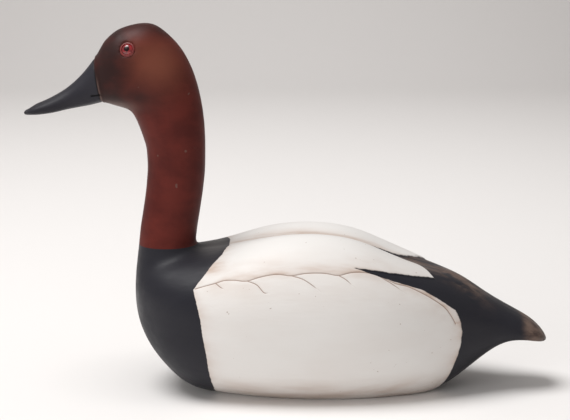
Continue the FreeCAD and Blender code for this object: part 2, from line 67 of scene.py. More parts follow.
BREAST_LINE = [(-51, 90), (-51, 78), (-56, 59), (-63, 50), (-71, 38.5), (-79.5, 28.5), (-76.5, 18),
               (-73.5, 8), (-71.5, -5), (-68.5, -18), (-67, -30), (-63.5, -49), (-60, -90)]
RUMP_LINE = [(70, 90), (88, 84), (99.5, 79), (111.5, 68), (118, 58.5), (123.5, 48), (105.5, 43.7),
             (85.5, 41.6), (55, 41.2), (66, 39), (85.5, 35.3), (98.5, 33.5), (112, 31.5), (125, 25.5),
             (134, 19.5), (141, 14), (145, 4), (147, -9.5), (146, -24), (143, -35), (137, -52.5),
             (120, -90)]
FEATHER_LINE = [(-78, 29), (-69.5, 30.7), (-60.5, 32.3), (-54, 33.7), (-44.5, 33.4), (-35.5, 32.3),
                (-25.5, 34.2), (-15.5, 35.6), (-7, 35.8), (2, 34.8), (12.5, 36.1), (24, 36.6),
                (32.5, 36.3), (41.5, 35.4), (51.5, 37.7), (62.5, 38.7), (75, 37.9), (89.5, 33.4),
                (101, 32.2), (117.5, 26), (131, 17.4), (137.5, 7.8), (141, 0)]
FEATHER_TICKS = [
    [(-60.5, 32), (-57, 29.4), (-53, 27.3)],
    [(-34.5, 32.4), (-26.5, 29.7), (-20.5, 24.8), (-16, 24.5)],
    [(2, 34.9), (11.5, 32.7), (19, 29.3), (27, 24.7)],
    [(41.5, 35.4), (48, 32.7), (55, 27.8)],
    [(75, 37.6), (86.5, 32.7), (99.5, 25.7)],
]


def curved(line, steps=6):
    """The line with a smooth curve through its points instead of straight runs."""
    knots = np.array([line[0], *line, line[-1]], float)
    t = np.arange(steps)[:, None] / steps
    runs = [0.5 * (2 * b + (c - a) * t + (2 * a - 5 * b + 4 * c - d) * t ** 2
                   + (3 * b - a - 3 * c + d) * t ** 3)
            for a, b, c, d in zip(knots, knots[1:], knots[2:], knots[3:])]
    return [tuple(point) for point in np.concatenate([*runs, knots[-1:]])]


# ---------------------------------------------------------------------------------------------
# Mesh helpers

def mesh_object(name, mesh):
    item = bpy.data.objects.new(name, mesh)
    SCENE.collection.objects.link(item)
    return item


def evaluated(item):
    """The object's mesh with its modifiers applied, as a new mesh."""
    return bpy.data.meshes.new_from_object(item.evaluated_get(bpy.context.evaluated_depsgraph_get()))


def modified(mesh, kind, **settings):
    """The mesh after one modifier."""
    item = mesh_object("work", mesh)
    modifier = item.modifiers.new("step", kind)
    for name, value in settings.items():
        setattr(modifier, name, value)
    result = evaluated(item)
    bpy.data.objects.remove(item)
    return result


def joined(meshes):
    joint = bmesh.new()
    for mesh in meshes:
        joint.from_mesh(mesh)
    result = bpy.data.meshes.new("joined")
    joint.to_mesh(result)
    joint.free()
    return result


def points_of(mesh):
    flat = np.empty(len(mesh.vertices) * 3)
    mesh.vertices.foreach_get("co", flat)
    return flat.reshape(-1, 3)


def edges_of(mesh):
    flat = np.empty(len(mesh.edges) * 2, int)
    mesh.edges.foreach_get("vertices", flat)
    return flat.reshape(-1, 2)


def set_points(mesh, points):
    mesh.vertices.foreach_set("co", points.astype(np.float32).ravel())
    mesh.update()


def island_labels(count, edges):
    """A number for each point, the same for all points that edges connect."""
    label = np.arange(count)
    while True:
        low = np.minimum(label[edges[:, 0]], label[edges[:, 1]])
        fresh = label.copy()
        np.minimum.at(fresh, edges[:, 0], low)
        np.minimum.at(fresh, edges[:, 1], low)
        fresh = fresh[fresh]
        if (fresh == label).all():
            return label
        label = fresh


def without(mesh, dropped):
    """The mesh without the points that are marked."""
    part = bmesh.new()
    part.from_mesh(mesh)
    part.verts.ensure_lookup_table()
    bmesh.ops.delete(part, geom=[part.verts[i] for i in np.flatnonzero(dropped)], context="VERTS")
    rest = bpy.data.meshes.new("rest")
    part.to_mesh(rest)
    part.free()
    return rest


def largest_island(mesh):
    labels = island_labels(len(mesh.vertices), edges_of(mesh))
    names, counts = np.unique(labels, return_counts=True)
    return without(mesh, labels != names[counts.argmax()])


# Shares of the way to its neighbours' mean that smoothing moves a point, there and back.
PULL, PUSH = 0.5, 0.53


def neighbour_mean(points, edges):
    """For each point, the mean of the points it has an edge to."""
    first, second = np.r_[edges[:, 0], edges[:, 1]], np.r_[edges[:, 1], edges[:, 0]]
    count = np.bincount(first, minlength=len(points))
    sums = [np.bincount(first, points[second, axis], len(points)) for axis in range(3)]
    return np.stack(sums, 1) / np.maximum(count, 1)[:, None]


def smoothed(points, edges, rounds, weight=1.0, keep_size=True):
    """Points after rounds of smoothing; with keep_size each round is followed by an opposite one."""
    weight = np.broadcast_to(weight, len(points))[:, None]
    for _ in range(rounds):
        points = points + PULL * weight * (neighbour_mean(points, edges) - points)
        if keep_size:
            points = points - PUSH * weight * (neighbour_mean(points, edges) - points)
    return points


def set_mask(mesh, name, values):
    """A number at each point, for a material to read."""
    mask = mesh.attributes.get(name) or mesh.attributes.new(name, "FLOAT", "POINT")
    mask.data.foreach_set("value", values.astype(np.float32))


# ---------------------------------------------------------------------------------------------
# Fields on the skin

def smoothstep(low, high, value):
    t = np.clip((value - low) / (high - low), 0, 1)
    return t * t * (3 - 2 * t)


def blob(points, centre, radii):
    """1 at a centre given in mm and fading over its radii, on both sides of the bird."""
    place = np.c_[points[:, 0], np.abs(points[:, 1]), points[:, 2]] / MM
    return np.exp(-(((place - centre) / radii) ** 2).sum(1))


def unrolled(points):
    """(mm along the body, degrees above level, mm per degree) of each point."""
    across, up = np.abs(points[:, 1]), points[:, 2] - AXIS_Z
    angle, scale = np.degrees(np.arctan2(up, across)), np.radians(1) * np.hypot(across, up) / MM
    return points[:, 0] / MM, angle, scale


def line_distance(points, line):
    """Distance in mm over the skin from each point to a line laid out in mm and degrees."""
    along, angle, scale = unrolled(points)
    nearest = np.full(len(points), 1e3)
    for (x0, a0), (x1, a1) in zip(line, line[1:]):
        run_x, run_y = x1 - x0, (a1 - a0) * scale
        to_x, to_y = along - x0, (angle - a0) * scale
        t = np.clip((to_x * run_x + to_y * run_y) / (run_x ** 2 + run_y ** 2), 0, 1)
        nearest = np.minimum(nearest, np.hypot(to_x - t * run_x, to_y - t * run_y))
    return nearest


def behind_line(points, line):
    """Signed distance in mm from a line that runs down round the body: positive towards the tail."""
    along, angle, _ = unrolled(points)
    xs, angles = np.array(line[::-1]).T
    side = np.sign(along - np.interp(angle, angles, xs))
    return np.where(side == 0, 1, side) * line_distance(points, line)


def above_line(points, line):
    """Height in mm over the skin above a line that runs along the body."""
    along, angle, scale = unrolled(points)
    xs, angles = np.array(line).T
    return (angle - np.interp(along, xs, angles)) * scale


def feather_distance(points):
    """Distance in mm to the nearest feather line; ticks fade out, as if further away, to their ends."""
    along = points[:, 0] / MM
    fades = [2.2 * smoothstep(tick[-2][0], tick[-1][0] + 1, along) for tick in FEATHER_TICKS]
    ticks = [line_distance(points, curved(tick)) + 0.3 * fade
             for tick, fade in zip(FEATHER_TICKS, fades)]
    return np.minimum.reduce([line_distance(points, curved(FEATHER_LINE, 3)), *ticks])


def is_body(points):
    """1 on the body and 0 on the neck and head."""
    return 1 - (points[:, 2] > NECK_Z) * (points[:, 0] < NECK_REAR_X)


def bill_distance(points):
    """Distance in mm out of the joint between face and bill."""
    return (points - np.array(BILL_POINT)) @ np.array(BILL_NORMAL) / MM


# ---------------------------------------------------------------------------------------------
# The carved skin

WOODEN = ["body_upper_shell", "body_lower_shell", "head_and_neck", "bill"]
BURIED = ["neck_pegs", "neck_screw", "neck_washer", "bill_dowel", "seam_dowels"]
GRAIN = 1.5 * MM            # edge of a voxel
BALLAST_GAP = 0.3 * MM
BALLAST_CORNER = 6 * MM
HOLLOW_FRONT, HOLLOW_BACK = Vector((-0.113, 0, 0.083)), Vector((0.143, 0, 0.063))
# Pocket of the line tie: two opposite corners, and the radius of its upright edges.
POCKET = (Vector((-0.059, -0.015, -0.01)), Vector((-0.023, 0.015, 0.009)), 0.007)


def rounded_block(low, high, radius):
    """A closed block with its upright edges rounded."""
    steps = 8
    outline = []
    for turn, (x, y) in enumerate(((high.x, high.y), (low.x, high.y), (low.x, low.y), (high.x, low.y))):
        inward = Vector((-1 if x == high.x else 1, -1 if y == high.y else 1)) * radius
        for step in range(steps + 1):
            angle = math.radians(90) * (turn + step / steps)
            outline.append((x + inward.x + radius * math.cos(angle),
                            y + inward.y + radius * math.sin(angle)))
    block = bmesh.new()
    rings = [[block.verts.new((x, y, z)) for x, y in outline] for z in (low.z, high.z)]
    block.faces.new(rings[0][::-1])
    block.faces.new(rings[1])
    for i in range(len(outline)):
        j = (i + 1) % len(outline)
        block.faces.new((rings[0][i], rings[0][j], rings[1][j], rings[1][i]))
    mesh = bpy.data.meshes.new("block")
    block.to_mesh(mesh)
    block.free()
    return mesh


def base_cutters():
    """The inlet of the ballast and the pocket of the line tie, as blocks that reach below the base."""
    low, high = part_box("ballast_pad")
    gap = Vector((BALLAST_GAP, BALLAST_GAP, 0))
    inlet = rounded_block(Vector((*(low - gap).xy, POCKET[0].z)), high + gap, BALLAST_CORNER)
    return [inlet, rounded_block(*POCKET)]


def blank():
    """The outer skin of the whole bird, without its cuts for hardware."""
    solids = [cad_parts[name].data for name in WOODEN + BURIED]
    fillers = []
    for cutter in base_cutters():
        points = points_of(cutter)
        points[:, 2] = np.maximum(points[:, 2], 0)
        set_points(cutter, points)
        fillers.append(cutter)
    return largest_island(modified(joined(solids + fillers), "REMESH", mode="VOXEL", voxel_size=GRAIN))


def hollow_skin():
    """The wall of the hollow, found by looking out all round from a line through its middle."""
    shells = joined([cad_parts[name].data for name in WOODEN[:2]])
    walls = BVHTree.FromPolygons([v.co for v in shells.vertices], [f.vertices for f in shells.polygons])
    stations, turns = 72, 64
    hollow = bmesh.new()
    rings = []
    for station in range(stations + 1):
        middle = HOLLOW_FRONT.lerp(HOLLOW_BACK, (1 - math.cos(math.pi * station / stations)) / 2)
        directions = [Vector((0, math.cos(a), math.sin(a))) for a in
                      (2 * math.pi * k / turns for k in range(turns))]
        hits = [walls.ray_cast(middle, direction)[0] for direction in directions]
        rings.append([hollow.verts.new(hit) for hit in hits])
    for near, far in zip(rings, rings[1:]):
        for k in range(turns):
            following = (k + 1) % turns
            hollow.faces.new((near[k], near[following], far[following], far[k]))
    hollow.faces.new(rings[0])
    hollow.faces.new(rings[-1][::-1])
    mesh = bpy.data.meshes.new("hollow")
    hollow.to_mesh(mesh)
    hollow.free()
    return mesh


def eased(skin):
    """Takes the voxel grain off the skin and runs the foot of the neck softly into the breast."""
    edges = edges_of(skin)
    rough = points_of(skin)
    points = smoothed(rough, edges, 12)
    root_z, root_reach, root_rear_x = 0.117, 0.013, -0.055
    root = np.exp(-((points[:, 2] - root_z) / root_reach) ** 2) * (points[:, 0] < root_rear_x)
    points = smoothed(points, edges, 60, root, keep_size=False)
    head = smoothstep(0.215, 0.235, rough[:, 2]) * smoothstep(-0.157, -0.150, rough[:, 0])
    head = head * (1 - blob(rough, EYE_PLACE, (14, 14, 14))) ** 2
    head_rounds = 70
    soft = smoothed(points, edges, head_rounds, head, keep_size=False)
    points = soft + smoothed(points - soft, edges, head_rounds, head, keep_size=False)
    foot = rough[:, 2] < 0.4 * MM
    points[foot, 2] = 0
    points[:, 2] = np.maximum(points[:, 2], 0)
    set_points(skin, points)


def refine(skin, reach, distance):
    """Halves the edges of the skin that lie within reach, in mm, of the lines a distance is given to."""
    fine = bmesh.new()
    fine.from_mesh(skin)
    bmesh.ops.triangulate(fine, faces=fine.faces)
    middles = np.array([((e.verts[0].co + e.verts[1].co) / 2)[:] for e in fine.edges])
    near = distance(middles) < reach
    edges = [edge for edge, chosen in zip(fine.edges, near) if chosen]
    bmesh.ops.subdivide_edges(fine, edges=edges, cuts=1, use_grid_fill=True)
    bmesh.ops.triangulate(fine, faces=fine.faces)
    fine.to_mesh(skin)
    fine.free()


def carved_distance(points):
    """Distance in mm to the nearest line that is carved into the skin or painted up to."""
    on_body = np.minimum.reduce([feather_distance(points), np.abs(behind_line(points, RUMP_LINE)) * 1.4,
                                 np.abs(behind_line(points, BREAST_LINE)) * 2])
    on_bill = np.minimum(np.abs(bill_distance(points)) * 1.5, mouth_distance(points))
    on_bill = on_bill + 1e3 * (points[:, 2] < HEAD_Z)
    return np.where(is_body(points) == 1, on_body, on_bill)


def normals_of(mesh):
    flat = np.empty(len(mesh.vertices) * 3)
    mesh.vertices.foreach_get("normal", flat)
    return flat.reshape(-1, 3)


def mouth_distance(points):
    """Distance in mm, seen from the side, to the short slit at the corner of the mouth."""
    x, z = points[:, 0] / MM, points[:, 2] / MM
    front_x, back_x, front_z, slope = -166, -159, 255.6, 0.12
    slit_x = np.clip(x, front_x, back_x)
    in_the_middle = np.abs(points[:, 1]) < 6 * MM
    return np.hypot(x - slit_x, z - front_z - slope * (slit_x - front_x)) + 9 * in_the_middle


def groove(distance, width, depth):
    return -depth * np.exp(-(distance / width) ** 2)


def carve(skin):
    """Cuts the feather lines, sets the rump below the wing tips and shapes the edge of the bill."""
    points = points_of(skin)
    body = is_body(points)
    rump, breast = behind_line(points, RUMP_LINE), behind_line(points, BREAST_LINE)
    _, angle, _ = unrolled(points)
    wing = smoothstep(30, 42, angle)
    step = -(0.35 + 1.0 * wing) * smoothstep(-0.4, 1.2, rump) * np.exp(-np.maximum(rump, 0) / 14)
    lines = groove(feather_distance(points), 0.55, 0.5) + groove(rump, 0.5, 0.2)
    lines = lines + groove(breast, 0.5, 0.15)
    valley = 0.9 * blob(points, (84, 0, 121), (24, 9, 40))
    valley = valley - 0.5 * blob(points, (84, 30, 125), (22, 9, 20))
    bill = bill_distance(points)
    rim = 0.35 * np.exp(-((bill + 1.6) / 0.9) ** 2)
    face = groove(bill, 0.6, 0.45) + rim + groove(mouth_distance(points), 0.6, 0.9)
    lift = np.where(body == 1, step + lines + valley, face * (points[:, 2] > HEAD_Z))
    off_the_base = points[:, 2] > 2 * MM
    set_points(skin, points + normals_of(skin) * (lift * off_the_base * MM)[:, None])


def paint_masks(skin):
    """Writes the masks that the paint reads."""
    points = points_of(skin)
    x, z = points[:, 0] / MM, points[:, 2] / MM
    body = is_body(points)
    _, angle, _ = unrolled(points)
    rump, breast = behind_line(points, RUMP_LINE), behind_line(points, BREAST_LINE)
    above = above_line(points, FEATHER_LINE)
    set_mask(skin, "rump_edge", rump)
    set_mask(skin, "breast_edge", -breast)
    set_mask(skin, "feather_line", feather_distance(points))

    # Beige over the white: painted shade in the creases above and below the feather line, in the valley
    # of the back and towards the base, and beige stain together with painted shade along the edges of the
    # charcoal.
    band = 0.9 * np.exp(-np.maximum(above, 0) / 9) * smoothstep(-0.5, 1, above) * smoothstep(-70, -50, x)
    valley = 0.8 * np.exp(-(points[:, 1] / MM / 9) ** 2) * (angle > 60)
    corner = 0.8 * blob(points, (-64, 48, 116), (12, 14, 12))
    below = 0.35 * np.exp(np.minimum(above, 0) / 14) * (above < 0) * smoothstep(-85, -60, x)
    rear = 0.55 * np.exp(-np.abs(rump) / 7) * smoothstep(36, 30, angle)
    front = 0.4 * np.exp(-np.abs(breast) / 6)
    foot = 0.45 * smoothstep(30, 6, z)
    stain_and_painted_shade = np.maximum.reduce([band, below, valley, corner, rear, front, foot])
    set_mask(skin, "stain_and_shade", np.clip(stain_and_painted_shade, 0, 1) * body)

    back = np.exp(-(points[:, 1] / MM / 24) ** 4) * smoothstep(92, 110, x) * smoothstep(185, 150, x)
    back = back * (angle > 0)
    set_mask(skin, "streaks", back * body)
    set_mask(skin, "tail_wear", smoothstep(188, 216, x))
    # Painted sheen: lighter grey on the top of the breast round the foot of the neck.
    set_mask(skin, "breast_sheen", blob(points, (-64, 6, 124), (12, 26, 9)) * body)

    face = smoothstep(-121, -147, x) * smoothstep(228, 250, z)
    crown = 0.7 * smoothstep(298, 312, z)
    jaw = 0.8 * blob(points, (-128, 24, 257), (22, 16, 12))
    set_mask(skin, "face_shade", np.maximum.reduce([face, crown, jaw]) * (1 - body))
    # Lighter cheek, spread up and back so that it also carries a painted sheen on the head.
    set_mask(skin, "cheek_and_sheen", blob(points, (-109, 28, 284), (26, 26, 22)))
    set_mask(skin, "chin_light", blob(points, (-143, 9, 247), (18, 14, 5)))
    bill = bill_distance(points)
    set_mask(skin, "bill_edge", bill)
    # Painted highlight: a pale line along the raised rim where the face meets the bill.
    rim = np.exp(-((bill + 0.9) / 0.6) ** 2) * smoothstep(275, 262, z) * smoothstep(200, 220, z)
    set_mask(skin, "bill_rim", rim)
    set_mask(skin, "mouth", np.exp(-(mouth_distance(points) / 0.7) ** 2))


def halved(mesh, point, normal, keep_ahead):
    """The part of a closed mesh on one side of a plane, closed again by a flat face."""
    part = bmesh.new()
    part.from_mesh(mesh)
    everything = part.verts[:] + part.edges[:] + part.faces[:]
    result = bmesh.ops.bisect_plane(part, geom=everything, plane_co=point, plane_no=normal,
                                    clear_outer=not keep_ahead, clear_inner=keep_ahead)
    rim = [item for item in result["geom_cut"] if isinstance(item, bmesh.types.BMEdge)]
    for edge in rim:
        edge.smooth = False
    bmesh.ops.triangle_fill(part, edges=rim, use_beauty=True, use_dissolve=False)
    bmesh.ops.recalc_face_normals(part, faces=part.faces)
    half = bpy.data.meshes.new("half")
    part.to_mesh(half)
    part.free()
    return half


def neck_parted(mesh):
    """(body, head with neck) of a closed mesh, parted at the flat joint under the neck."""
    level, up = Vector((0, 0, NECK_Z)), Vector((0, 0, 1))
    part = bmesh.new()
    part.from_mesh(mesh)
    near = [v for v in part.verts if v.co.x < NECK_REAR_X and v.co.z > NECK_Z - 0.02]
    faces = {face for vert in near for face in vert.link_faces}
    edges = {edge for face in faces for edge in face.edges}
    verts = {vert for face in faces for vert in face.verts}
    result = bmesh.ops.bisect_plane(part, geom=[*verts, *edges, *faces], plane_co=level, plane_no=up)
    rim = [item for item in result["geom_cut"] if isinstance(item, bmesh.types.BMEdge)]
    bmesh.ops.split_edges(part, edges=rim)
    cut = bpy.data.meshes.new("cut")
    part.to_mesh(cut)
    part.free()
    labels = island_labels(len(cut.vertices), edges_of(cut))
    is_head = labels == labels[points_of(cut)[:, 2].argmax()]
    sides = []
    for dropped in (is_head, ~is_head):
        side = without(cut, dropped)
        closed = bmesh.new()
        closed.from_mesh(side)
        edge = [e for e in closed.edges if e.is_boundary]
        for item in edge:
            item.smooth = False
        bmesh.ops.triangle_fill(closed, edges=edge, use_beauty=True, use_dissolve=False)
        bmesh.ops.recalc_face_normals(closed, faces=closed.faces)
        closed.to_mesh(side)
        closed.free()
        sides.append(side)
    return sides


def carved_blocks():
    """The four painted blocks as closed meshes, by the name of the CAD node that each stands for."""
    skin = blank()
    eased(skin)
    for reach in (1.8, 1.0):
        refine(skin, reach, carved_distance)
    carve(skin)
    paint_masks(skin)
    body_skin, head = neck_parted(skin)
    body = joined([body_skin, hollow_skin()])
    seam, up = Vector((0, 0, SEAM_Z)), Vector((0, 0, 1))
    lower = halved(body, seam, up, False)
    for cutter in base_cutters():
        tool = mesh_object("cutter", cutter)
        lower = modified(lower, "BOOLEAN", operation="DIFFERENCE", object=tool, solver="EXACT")
        bpy.data.objects.remove(tool)
    return {"body_upper_shell": halved(body, seam, up, True), "body_lower_shell": lower,
            "head_and_neck": halved(head, BILL_POINT, BILL_NORMAL, False),
            "bill": halved(head, BILL_POINT, BILL_NORMAL, True)}


# ---------------------------------------------------------------------------------------------
# Materials

class Paint:
    """A material and the few kinds of node that its recipes are written with."""

    def __init__(self, name):
        self.material = bpy.data.materials.new(name)
        self.material.use_nodes = True
        self.tree = self.material.node_tree
        self.shader = self.tree.nodes["Principled BSDF"]

    def put(self, socket, value):
        """Links an output to a socket, or sets the socket to a plain value."""
        if isinstance(value, bpy.types.NodeSocket):
            self.tree.links.new(value, socket)
        else:
            socket.default_value = value

    def node(self, kind, output=0, inputs=(), **settings):
        made = self.tree.nodes.new(kind)
        for name, value in settings.items():
            setattr(made, name, value)
        for key, value in dict(inputs).items():
            self.put(made.inputs[key], value)
        return made.outputs[output]

    def mask(self, name):
        return self.node("ShaderNodeAttribute", "Fac", attribute_name=name)

    def noise(self, scale, stretch=(1, 1, 1), detail=4.0, roughness=0.55, seed=(0, 0, 0)):
        """Noise over the object's own coordinates, scale in features per metre."""
        place = self.node("ShaderNodeTexCoord", "Object")
        place = self.node("ShaderNodeMapping", inputs={0: place, "Location": seed, "Scale": stretch})
        return self.node("ShaderNodeTexNoise", "Fac", {"Vector": place, "Scale": scale, "Detail": detail,
                                                       "Roughness": roughness})

    def between(self, value, low, high, start=0.0, end=1.0):
        """Runs smoothly from start to end as the value goes from low to high."""
        return self.node("ShaderNodeMapRange", interpolation_type="SMOOTHSTEP",
                         inputs={"Value": value, 1: low, 2: high, 3: start, 4: end})

    def math(self, operation, first, second=0.0):
        return self.node("ShaderNodeMath", inputs={0: first, 1: second}, operation=operation)

    def mix(self, amount, first, second):
        """Colour that goes from first to second."""
        return self.node("ShaderNodeMix", 2, {0: amount, 6: first, 7: second}, data_type="RGBA")

    def set(self, **sockets):
        for name, value in sockets.items():
            self.put(self.shader.inputs[name.replace("_", " ")], value)
        return self

    def bump(self, height, strength, distance):
        normal = self.node("ShaderNodeBump", inputs={"Height": height, "Strength": strength,
                                                     "Distance": distance})
        return self.set(Normal=normal)


def rgb(red, green, blue):
    """A colour from its screen values 0 to 255."""
    screen = (red, green, blue)
    return (*(((v / 255 + 0.055) / 1.055) ** 2.4 if v > 10 else v / 255 / 12.92 for v in screen), 1)


WHITE = rgb(219, 216, 213)
BEIGE = rgb(186, 166, 153)
CHARCOAL = rgb(30, 30, 37)
# Grey for patches in the charcoal and the slate, and for the painted sheen on the top of the breast.
CHARCOAL_DUST_AND_SHEEN = rgb(80, 77, 77)
WORN_BROWN = rgb(118, 98, 87)
TAIL_BROWN = rgb(76, 60, 54)
LINE_BROWN = rgb(134, 104, 86)
CHESTNUT = rgb(92, 36, 30)
CHESTNUT_DEEP = rgb(76, 28, 24)
FACE_DARK = rgb(40, 26, 25)
CHEEK = rgb(118, 70, 54)
CHIN = rgb(106, 86, 80)
BLACK = rgb(14, 12, 12)
SLATE = rgb(34, 33, 41)
SLATE_DARK = rgb(28, 27, 34)


def brush_height(paint):
    """Fine strokes of the brush along the body, with a slow waviness from the knife under them."""
    strokes = paint.noise(420, (0.12, 1, 1), 3.0)
    knife = paint.noise(45, (0.5, 1, 1), 2.0, seed=(3, 0, 0))
    return paint.math("ADD", paint.math("MULTIPLY", strokes, 0.35), knife)


def body_paint():
    """White flanks and back with beige stain and painted shade, charcoal breast and rump with a painted
    sheen on top of the breast, brown where it is worn.
    """
    paint = Paint("painted_body")
    ragged = paint.math("MULTIPLY", paint.math("SUBTRACT", paint.noise(260, detail=2.0), 0.5), 1.2)
    dark_breast = paint.between(paint.math("ADD", paint.mask("breast_edge"), ragged), -0.35, 0.35)
    dark_rump = paint.between(paint.math("ADD", paint.mask("rump_edge"), ragged), -0.35, 0.35)
    dark = paint.math("MAXIMUM", dark_breast, dark_rump)

    streaky = paint.between(paint.noise(70, (0.22, 1, 1), 5.0), 0.35, 0.68)
    # Beige stain and painted shade over the white, broken into streaks.
    stained_and_shaded = paint.math("MULTIPLY", paint.mask("stain_and_shade"), paint.math("ADD", streaky, 0.5))
    cloudy = paint.between(paint.noise(28, (0.4, 1, 1), 3.0, seed=(7, 0, 0)), 0.4, 0.75)
    cloudy = paint.math("MULTIPLY", cloudy, 0.1)
    specks = paint.between(paint.noise(330, detail=1.0, seed=(1, 2, 0)), 0.77, 0.8)
    specks = paint.math("MULTIPLY", specks, 0.5)
    white = paint.mix(paint.math("ADD", stained_and_shaded, cloudy), WHITE, BEIGE)
    white = paint.mix(specks, white, LINE_BROWN)
    white = paint.mix(paint.between(paint.mask("feather_line"), 0.6, 0.15, 0.0, 0.75), white, LINE_BROWN)

    rubbed = paint.between(paint.noise(85, (0.14, 1, 1), 5.0, 0.7, (0, 5, 0)), 0.4, 0.58)
    rubbed = paint.math("MULTIPLY", paint.mask("streaks"), rubbed)
    tail = paint.math("ADD", paint.noise(60, (0.3, 1, 1), 4.0, seed=(0, 0, 4)), paint.mask("tail_wear"))
    tail = paint.between(tail, 0.85, 1.45, 0.0, 0.8)
    worn = paint.math("MAXIMUM", paint.math("MULTIPLY", rubbed, 0.9), tail)
    # Painted sheen on the top of the breast, grey over the charcoal.
    black = paint.mix(paint.math("MULTIPLY", paint.mask("breast_sheen"), 0.9), CHARCOAL, CHARCOAL_DUST_AND_SHEEN)
    patchy = paint.math("MULTIPLY", paint.noise(35, (0.3, 1, 1), 4.0), 0.16)
    black = paint.mix(patchy, black, CHARCOAL_DUST_AND_SHEEN)
    grain = paint.between(paint.noise(150, (0.12, 1, 1), 4.0, 0.65, (4, 1, 0)), 0.35, 0.65)
    black = paint.mix(worn, black, paint.mix(grain, WORN_BROWN, TAIL_BROWN))
    paint.set(Base_Color=paint.mix(dark, white, black), Specular_IOR_Level=0.2)
    paint.set(Roughness=paint.between(paint.noise(60, (0.2, 1, 1)), 0.3, 0.7, 0.36, 0.52))
    return paint.bump(brush_height(paint), 0.5, 0.0006).material


def head_paint():
    """Chestnut, darker towards the bill and over the crown, with a lighter cheek that also carries a
    painted sheen, a pale chin and a painted highlight along the rim at the bill.
    """
    paint = Paint("painted_head")
    soft = paint.noise(55, (0.6, 0.6, 1), 4.0)
    colour = paint.mix(paint.between(soft, 0.35, 0.7), CHESTNUT, CHESTNUT_DEEP)
    # Lighter cheek, partly painted sheen.
    colour = paint.mix(paint.math("MULTIPLY", paint.mask("cheek_and_sheen"), 0.7), colour, CHEEK)
    shade = paint.math("MULTIPLY", paint.mask("face_shade"), paint.between(soft, 0.2, 0.6, 0.65, 0.95))
    colour = paint.mix(shade, colour, FACE_DARK)
    colour = paint.mix(paint.math("MULTIPLY", paint.mask("chin_light"), 0.8), colour, CHIN)
    # Painted highlight along the raised rim at the bill.
    colour = paint.mix(paint.math("MULTIPLY", paint.mask("bill_rim"), 0.7), colour, CHIN)
    colour = paint.mix(paint.mask("mouth"), colour, BLACK)
    nicks = paint.between(paint.noise(150, detail=1.0, seed=(2, 1, 0)), 0.745, 0.77, 0.0, 0.5)
    colour = paint.mix(nicks, colour, CHIN)
    paint.set(Base_Color=colour, Specular_IOR_Level=0.15)
    paint.set(Roughness=paint.between(paint.noise(80, (1, 1, 0.2)), 0.3, 0.7, 0.42, 0.58))
    return paint.bump(brush_height(paint), 0.4, 0.0005).material


def bill_paint():
    """Slate grey, darker to the tip, with a fine black line where it meets the face; the pale line at the
    joint, a painted highlight, is in the head's paint.
    """
    paint = Paint("painted_bill")
    colour = paint.mix(paint.between(paint.mask("bill_edge"), 10, 60), SLATE, SLATE_DARK)
    colour = paint.mix(paint.math("MULTIPLY", paint.noise(70, (0.3, 1, 1)), 0.2), colour, CHARCOAL_DUST_AND_SHEEN)
    colour = paint.mix(paint.between(paint.mask("bill_edge"), 1.2, 0.3, 0.0, 0.7), colour, BLACK)
    colour = paint.mix(paint.mask("mouth"), colour, BLACK)
    paint.set(Base_Color=colour, Specular_IOR_Level=0.22)
    paint.set(Roughness=paint.between(paint.noise(90, (0.3, 1, 1)), 0.3, 0.7, 0.42, 0.56))
    return paint.bump(brush_height(paint), 0.35, 0.0004).material


def grained(name, light, dark, roughness, stretch, scale, bump, metallic):
    """A material that runs between two shades along a stretched grain."""
    paint = Paint(name)
    grain = paint.between(paint.noise(scale, stretch, 6.0, 0.6), 0.3, 0.7)
    paint.set(Base_Color=paint.mix(grain, rgb(*light), rgb(*dark)), Metallic=metallic)
    paint.set(Roughness=paint.between(grain, 0, 1, *roughness))
    return paint.bump(grain, 0.4, bump).material


def red_glass():
    paint = Paint("eye_glass")
    depth = paint.between(paint.noise(300, detail=2.0), 0.35, 0.65)
    paint.set(Base_Color=paint.mix(depth, rgb(150, 8, 22), rgb(96, 2, 10)), Roughness=0.03,
              Coat_Weight=1.0, Coat_Roughness=0.02, Specular_IOR_Level=0.6)
    return paint.material


def black_glass():
    paint = Paint("pupil_glass")
    depth = paint.between(paint.noise(300, detail=2.0), 0.35, 0.65)
    paint.set(Base_Color=paint.mix(depth, rgb(16, 6, 8), rgb(32, 8, 10)), Roughness=0.35,
              Specular_IOR_Level=0.3)
    return paint.material


# Name: light and dark shade, range of roughness, stretch and scale of the grain, bump, metallic.
GRAINED = {
    "putty": ((122, 44, 42), (98, 38, 36), (0.4, 0.55), (1, 1, 1), 500, 0.0002, 0.0),
    "dowel_wood": ((205, 170, 120), (168, 128, 84), (0.5, 0.7), (1, 1, 0.08), 500, 0.0002, 0.0),
    "screw_steel": ((176, 174, 168), (128, 124, 118), (0.28, 0.5), (1, 1, 0.2), 300, 0.0001, 1.0),
    "ballast_lead": ((138, 139, 142), (104, 106, 110), (0.45, 0.65), (1, 1, 1), 120, 0.0002, 0.6),
    "brass": ((196, 158, 84), (128, 96, 52), (0.25, 0.5), (1, 1, 1), 260, 0.0001, 1.0),
}
MATERIALS = {
    "painted_body": body_paint(),
    "painted_head": head_paint(),
    "painted_bill": bill_paint(),
    "eye_glass": red_glass(),
    "pupil_glass": black_glass(),
    **{name: grained(name, *recipe) for name, recipe in GRAINED.items()},
}


# ---------------------------------------------------------------------------------------------
# Pieces

def show(name, mesh, slot, body, *nodes):
    """A piece that stands for CAD nodes, with the material of its slot."""
    mesh.materials.clear()
    mesh.materials.append(MATERIALS[slot])
    for face in mesh.polygons:
        face.use_smooth = True
    mesh.set_sharp_from_angle(angle=math.radians(50))
    item = mesh_object(name, mesh)
    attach(item, body)
    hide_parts(*nodes)
    return item


EYE_TURN, EYE_TILT = math.radians(10), math.radians(23)     # an eye looks this far forward and up
